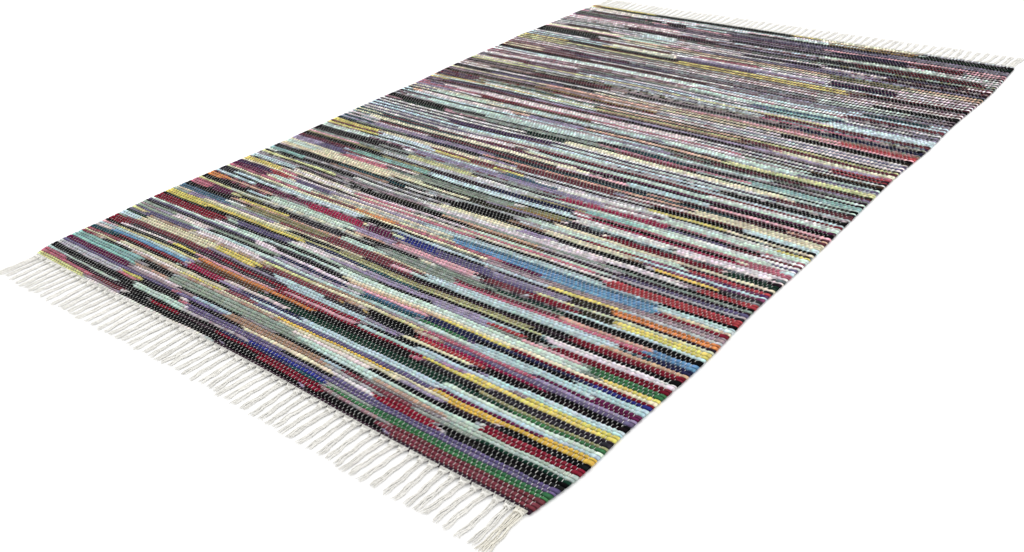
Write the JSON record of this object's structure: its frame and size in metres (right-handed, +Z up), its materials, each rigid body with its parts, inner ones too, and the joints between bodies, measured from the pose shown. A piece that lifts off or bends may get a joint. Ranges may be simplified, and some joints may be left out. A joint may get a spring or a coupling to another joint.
{
  "type": "cotton rag rug",
  "caption": "Flat hand-woven rag rug with multicoloured weft ribs, rounded selvedges and a knotted cotton fringe at each short end.",
  "frame": {"origin": "on the floor under the middle of the rug's box, fringe included", "axes": "+X across the weave, +Y along it from the front fringe to the back fringe, +Z up from the floor"},
  "size_m": [1.2315, 1.9749, 0.0056],
  "materials": {
    "rag_weft": "matt cotton rags of many colours with white warp",
    "warp_cotton": "matt unbleached twisted cotton yarn"
  },
  "bodies": {
    "root": {"woven_cloth": "rag_weft", "front_fringe": "warp_cotton", "back_fringe": "warp_cotton"}
  },
  "joints": []
}
